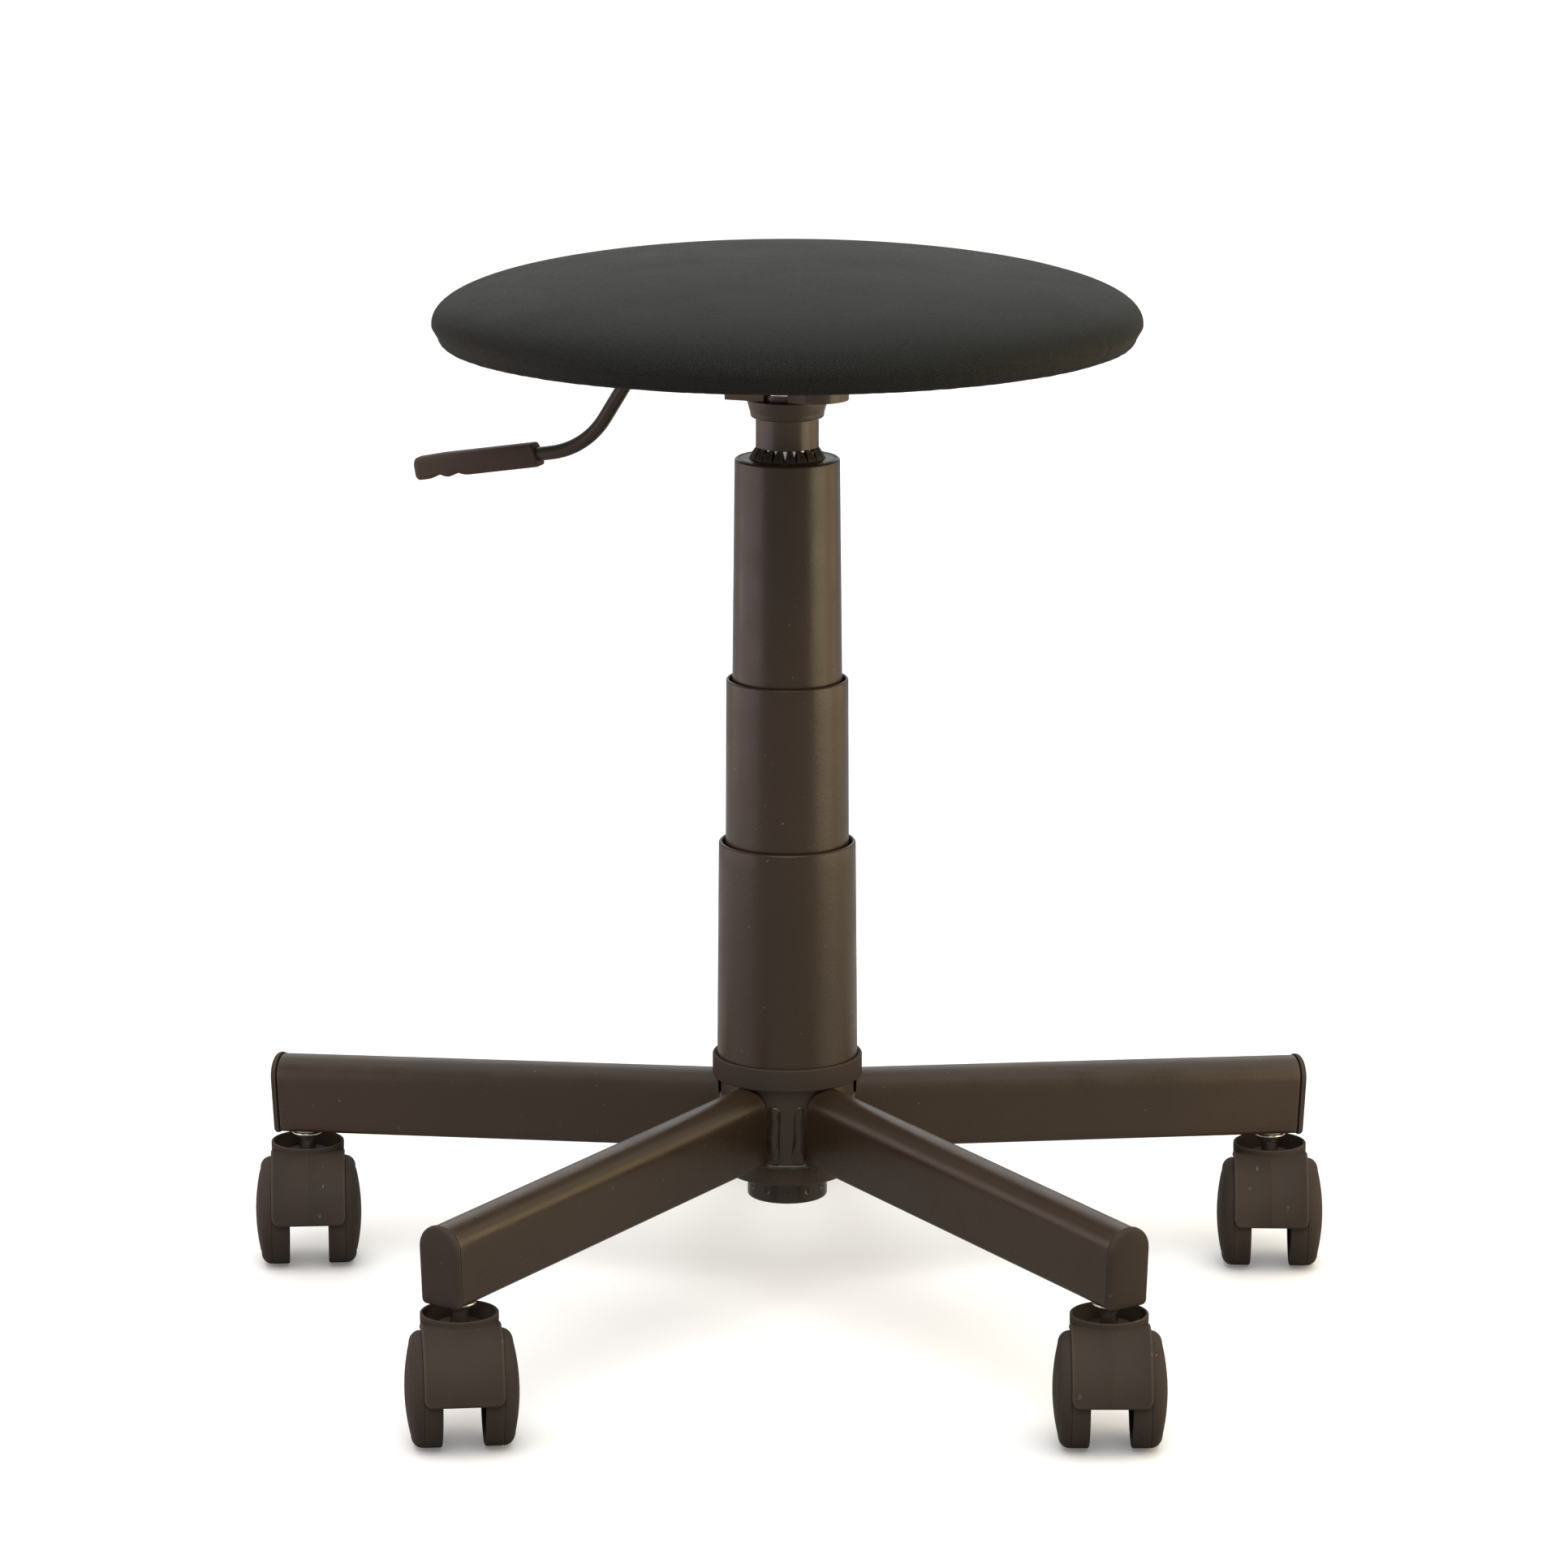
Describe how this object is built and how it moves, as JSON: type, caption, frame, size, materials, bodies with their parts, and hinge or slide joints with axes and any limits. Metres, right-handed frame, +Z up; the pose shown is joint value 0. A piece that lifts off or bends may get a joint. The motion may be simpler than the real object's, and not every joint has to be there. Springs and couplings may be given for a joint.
{
  "type": "adjustable swivel stool",
  "caption": "Backless swivel stool: round padded seat, gas-lift column in telescopic covers, release lever, and a five-star steel base on twin-wheel casters.",
  "frame": {"origin": "on the floor, on the column axis", "axes": "+Z up, front towards -Y, +X to the right as seen from the front"},
  "size_m": [0.4948, 0.4836, 0.4795],
  "materials": {
    "brown_paint": "satin",
    "brown_plastic": "matte",
    "dark_plastic": "matte",
    "rubber": "matte",
    "steel": "satin",
    "bright_steel": "gloss",
    "plywood": "matte",
    "foam": "matte",
    "leathercloth": "satin",
    "black_cloth": "matte"
  },
  "bodies": {
    "base": {"hub": "brown_paint", "end_caps": "brown_plastic", "weld_beads": "brown_paint", "caster_sockets": "steel", "caster_stems": "bright_steel", "column_tube": "steel", "bottom_cup": "brown_paint", "thrust_bearing": "steel", "rubber_buffer": "rubber", "retaining_clip": "steel", "piston_rod": "steel", "piston": "steel", "guide_sleeve": "dark_plastic", "collar_ring": "brown_plastic", "lower_cover": "brown_paint", "arm_1": "brown_paint", "arm_2": "brown_paint", "arm_3": "brown_paint", "arm_4": "brown_paint", "arm_5": "brown_paint"},
    "middle": {"middle_cover": "brown_paint"},
    "upper": {"upper_cover": "brown_paint", "cover_crown": "dark_plastic"},
    "seat": {"gas_cylinder": "steel", "cylinder_seal": "rubber", "cylinder_sleeve": "brown_paint", "socket_cup": "brown_paint", "seat_plate": "brown_paint", "seat_bolts": "steel", "t_nuts": "steel", "seat_board": "plywood", "seat_foam": "foam", "seat_cover": "leathercloth", "dust_cloth": "black_cloth", "staples": "steel", "lever_pin": "steel"},
    "lever": {"lever_rod": "brown_paint", "lever_grip": "brown_plastic"},
    "button": {"release_button": "steel"},
    "caster_1": {"caster_hood_1": "brown_plastic", "caster_axle_1": "steel"},
    "left_wheel_1": {"wheel_left_1": "brown_plastic"},
    "right_wheel_1": {"wheel_right_1": "brown_plastic"},
    "caster_2": {"caster_hood_2": "brown_plastic", "caster_axle_2": "steel"},
    "left_wheel_2": {"wheel_left_2": "brown_plastic"},
    "right_wheel_2": {"wheel_right_2": "brown_plastic"},
    "caster_3": {"caster_hood_3": "brown_plastic", "caster_axle_3": "steel"},
    "left_wheel_3": {"wheel_left_3": "brown_plastic"},
    "right_wheel_3": {"wheel_right_3": "brown_plastic"},
    "caster_4": {"caster_hood_4": "brown_plastic", "caster_axle_4": "steel"},
    "left_wheel_4": {"wheel_left_4": "brown_plastic"},
    "right_wheel_4": {"wheel_right_4": "brown_plastic"},
    "caster_5": {"caster_hood_5": "brown_plastic", "caster_axle_5": "steel"},
    "left_wheel_5": {"wheel_left_5": "brown_plastic"},
    "right_wheel_5": {"wheel_right_5": "brown_plastic"}
  },
  "joints": [
    {"name": "seat_lift", "type": "slide", "parent": "base", "child": "upper", "axis": [0, 0, 1], "range_m": [-0.1, 0.03]},
    {"name": "middle_follow", "type": "slide", "parent": "base", "child": "middle", "axis": [0, 0, 1], "range_m": [-0.06, 0.018]},
    {"name": "seat_swivel", "type": "hinge", "parent": "upper", "child": "seat", "pos_m": [0, 0, 0.4], "axis": [0, 0, 1], "continuous": true},
    {"name": "lever_lift", "type": "hinge", "parent": "seat", "child": "lever", "pos_m": [-0.02067, 0.00752, 0.428], "axis": [0.342, 0.9397, 0], "range_deg": [0, 6], "stiffness_Nm_per_rad": 5, "springref_deg": -11.46},
    {"name": "button_press", "type": "slide", "parent": "seat", "child": "button", "axis": [0, 0, 1], "range_m": [-0.0026, 0]},
    {"name": "caster_swivel_1", "type": "hinge", "parent": "base", "child": "caster_1", "pos_m": [0.2241, 0.07109, 0.05], "axis": [0, 0, 1], "continuous": true},
    {"name": "left_wheel_spin_1", "type": "hinge", "parent": "caster_1", "child": "left_wheel_1", "pos_m": [0.22364, 0.0581, 0.025], "axis": [0.9994, -0.0349, 0], "continuous": true},
    {"name": "right_wheel_spin_1", "type": "hinge", "parent": "caster_1", "child": "right_wheel_1", "pos_m": [0.22364, 0.0581, 0.025], "axis": [0.9994, -0.0349, 0], "continuous": true},
    {"name": "caster_swivel_2", "type": "hinge", "parent": "base", "child": "caster_2", "pos_m": [0.00164, 0.23509, 0.05], "axis": [0, 0, 1], "continuous": true},
    {"name": "left_wheel_spin_2", "type": "hinge", "parent": "caster_2", "child": "left_wheel_2", "pos_m": [0.00164, 0.22209, 0.025], "axis": [1, 0, 0], "continuous": true},
    {"name": "right_wheel_spin_2", "type": "hinge", "parent": "caster_2", "child": "right_wheel_2", "pos_m": [0.00164, 0.22209, 0.025], "axis": [1, 0, 0], "continuous": true},
    {"name": "caster_swivel_3", "type": "hinge", "parent": "base", "child": "caster_3", "pos_m": [-0.22308, 0.07421, 0.05], "axis": [0, 0, 1], "continuous": true},
    {"name": "left_wheel_spin_3", "type": "hinge", "parent": "caster_3", "child": "left_wheel_3", "pos_m": [-0.22217, 0.06124, 0.025], "axis": [0.9976, 0.0698, 0], "continuous": true},
    {"name": "right_wheel_spin_3", "type": "hinge", "parent": "caster_3", "child": "right_wheel_3", "pos_m": [-0.22217, 0.06124, 0.025], "axis": [0.9976, 0.0698, 0], "continuous": true},
    {"name": "caster_swivel_4", "type": "hinge", "parent": "base", "child": "caster_4", "pos_m": [-0.13951, -0.18923, 0.05], "axis": [0, 0, 1], "continuous": true},
    {"name": "left_wheel_spin_4", "type": "hinge", "parent": "caster_4", "child": "left_wheel_4", "pos_m": [-0.13815, -0.20216, 0.025], "axis": [0.9945, 0.1045, 0], "continuous": true},
    {"name": "right_wheel_spin_4", "type": "hinge", "parent": "caster_4", "child": "right_wheel_4", "pos_m": [-0.13815, -0.20216, 0.025], "axis": [0.9945, 0.1045, 0], "continuous": true},
    {"name": "caster_swivel_5", "type": "hinge", "parent": "base", "child": "caster_5", "pos_m": [0.13686, -0.19116, 0.05], "axis": [0, 0, 1], "continuous": true},
    {"name": "left_wheel_spin_5", "type": "hinge", "parent": "caster_5", "child": "left_wheel_5", "pos_m": [0.13686, -0.20416, 0.025], "axis": [1, 0, 0], "continuous": true},
    {"name": "right_wheel_spin_5", "type": "hinge", "parent": "caster_5", "child": "right_wheel_5", "pos_m": [0.13686, -0.20416, 0.025], "axis": [1, 0, 0], "continuous": true}
  ],
  "couplings": [
    {"joint": "middle_follow", "follows": "seat_lift", "ratio": 0.6},
    {"joint": "button_press", "follows": "lever_lift", "m_per_rad": -0.0235}
  ]
}
